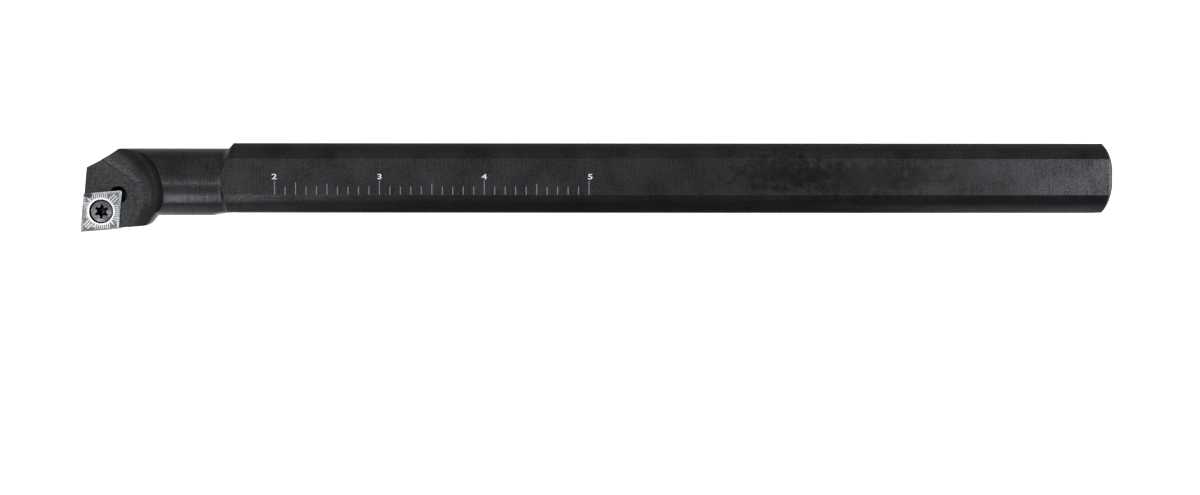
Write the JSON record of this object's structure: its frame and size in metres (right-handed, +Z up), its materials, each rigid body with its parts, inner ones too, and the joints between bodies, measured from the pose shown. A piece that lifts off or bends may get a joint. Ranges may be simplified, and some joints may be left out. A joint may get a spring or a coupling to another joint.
{
  "type": "boring bar",
  "caption": "Round-shank boring bar: a blackened steel bar whose head carries a rhombic carbide insert, clamped by a countersunk screw.",
  "frame": {"origin": "on the shank's axis, in its rear end face", "axes": "+X out of the rear end along the shank, so the cutting head lies at negative X; +Z up through the insert's top face, with z = 0 at the height of the cutting edge; -Y is the cutting side"},
  "size_m": [0.254, 0.022, 0.017],
  "materials": {
    "black_oxide_steel": "black oxide over fine milling marks",
    "ground_carbide": "bright ground and polished",
    "screw_steel": "hardened, lightly oiled"
  },
  "bodies": {
    "root": {"bar": "black_oxide_steel", "insert": "ground_carbide", "insert_screw": "screw_steel"}
  },
  "joints": []
}
